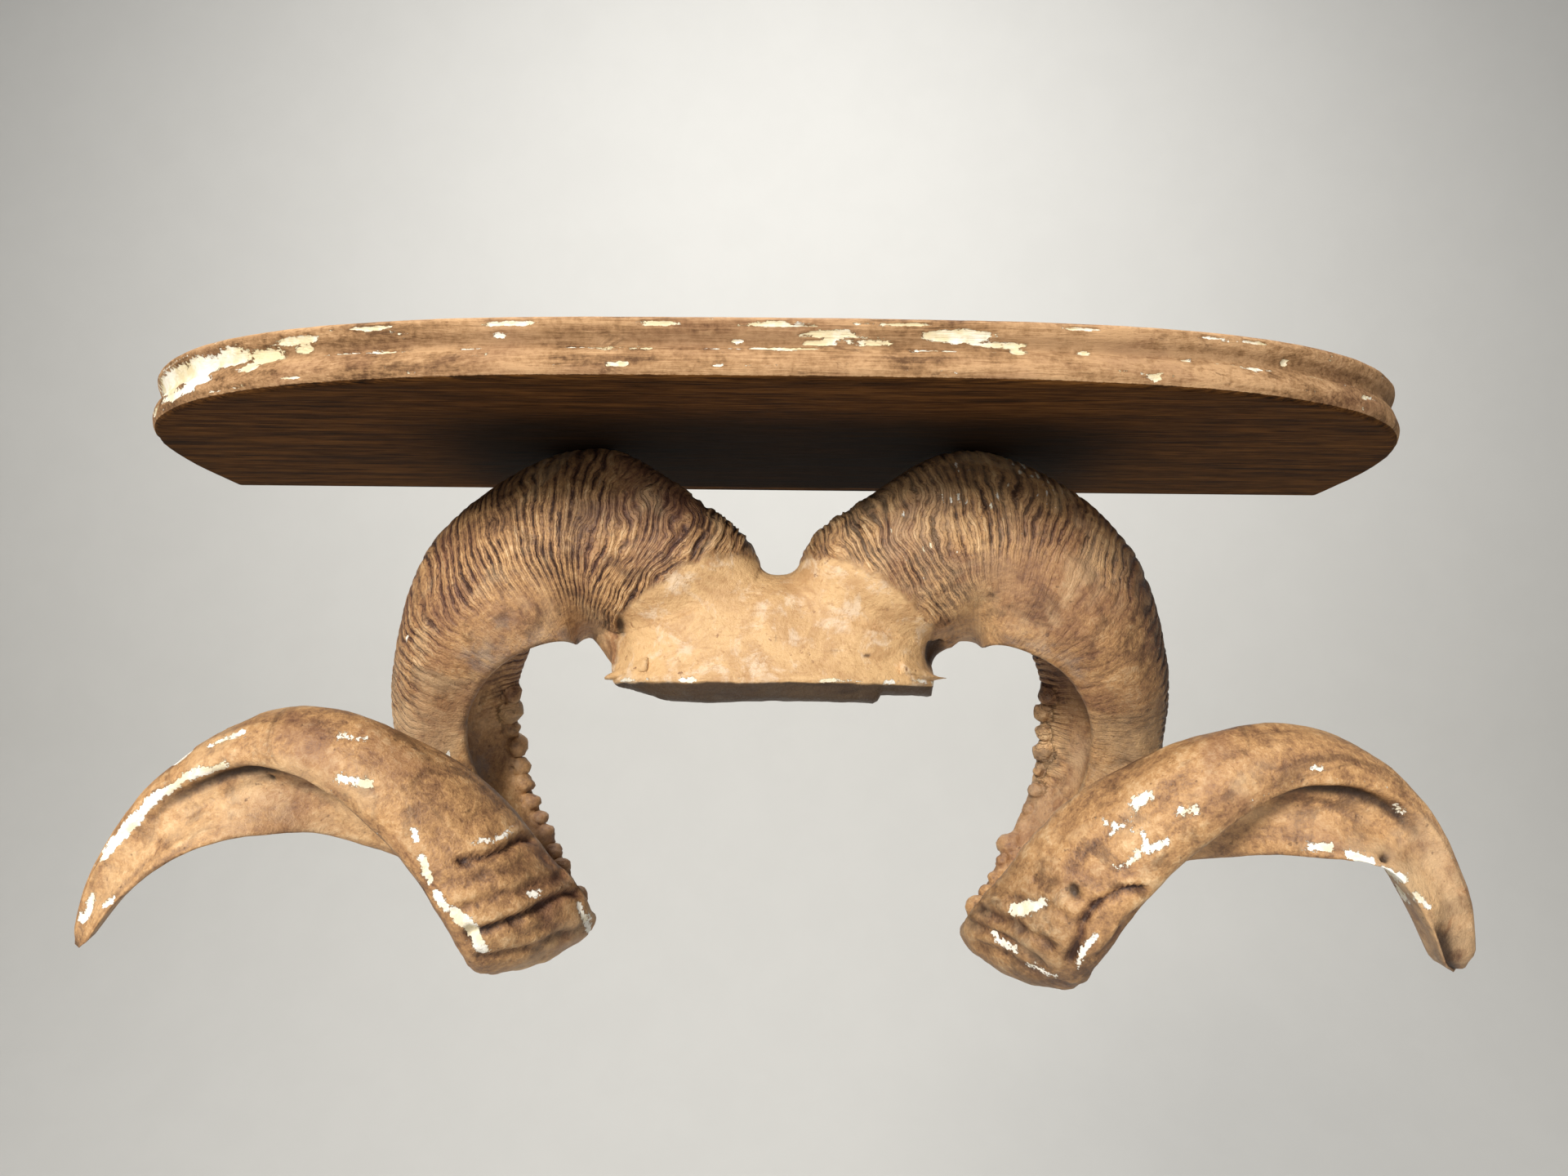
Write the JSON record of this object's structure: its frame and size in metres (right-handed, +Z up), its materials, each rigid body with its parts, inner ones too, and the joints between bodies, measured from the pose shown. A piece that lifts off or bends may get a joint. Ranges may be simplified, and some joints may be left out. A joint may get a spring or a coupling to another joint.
{
  "type": "ram's horn wall bracket shelf",
  "caption": "Small wall shelf with a moulded edge, carried on a cast pair of ram's horns joined by a smooth skull cap, with worn brown paint over white plaster.",
  "frame": {"origin": "middle of the shelf's flat back edge, on the wall plane", "axes": "+X along the shelf to the viewer's right, +Y into the wall, +Z up"},
  "size_m": [0.5838, 0.2, 0.2575],
  "materials": {
    "painted_board": "matt brown paint with streaks like wood grain, over cream plaster that shows at the chips",
    "painted_casting": "satin brown paint, darker in the ridges and tan on the skull cap, over white plaster that shows at the chips"
  },
  "bodies": {
    "root": {"shelf": "painted_board", "ram_horns": "painted_casting"}
  },
  "joints": []
}
